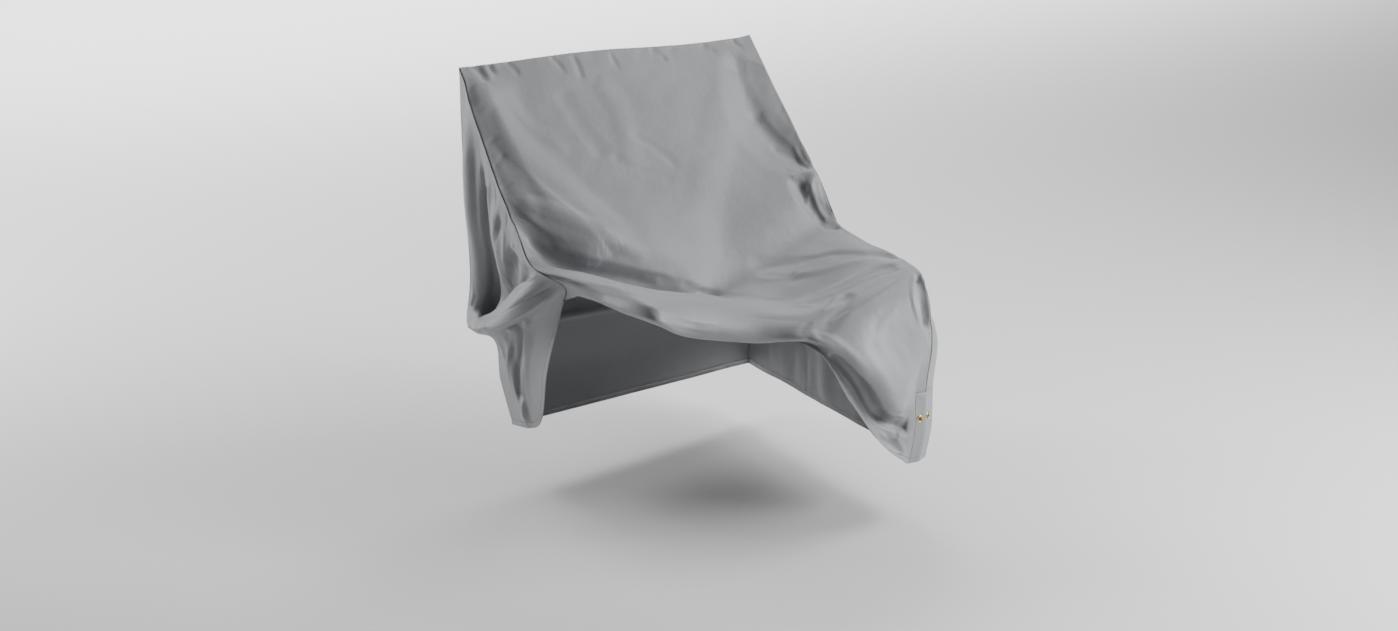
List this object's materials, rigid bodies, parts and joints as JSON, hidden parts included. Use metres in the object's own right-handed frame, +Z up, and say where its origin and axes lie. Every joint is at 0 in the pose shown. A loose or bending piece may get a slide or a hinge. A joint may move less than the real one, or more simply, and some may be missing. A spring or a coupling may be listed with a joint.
{
  "type": "lounge chair cover",
  "caption": "Fitted cloth cover for an outdoor lounge chair, draped over back, seat and one arm, with brass eyelets at a front corner.",
  "frame": {"origin": "on the top seam in the middle of the width, where the cover rests on the top of a chair's back", "axes": "+Z up, +X along the front from the drawn-up side to the full-length side, -Y towards the front"},
  "size_m": [0.8444, 0.8663, 0.875],
  "materials": {
    "front_panel": "smooth coated polyester, soft satin",
    "left_side_panel": "smooth coated polyester, soft satin",
    "right_side_panel": "smooth coated polyester, soft satin",
    "back_panel": "smooth coated polyester, soft satin",
    "eyelet_strip": "smooth coated polyester, soft satin",
    "eyelet_a": "polished brass",
    "eyelet_b": "polished brass"
  },
  "bodies": {
    "root": {"front_panel": "front_panel", "left_side_panel": "left_side_panel", "right_side_panel": "right_side_panel", "back_panel": "back_panel", "eyelet_strip": "eyelet_strip", "eyelet_a": "eyelet_a", "eyelet_b": "eyelet_b"}
  },
  "joints": []
}
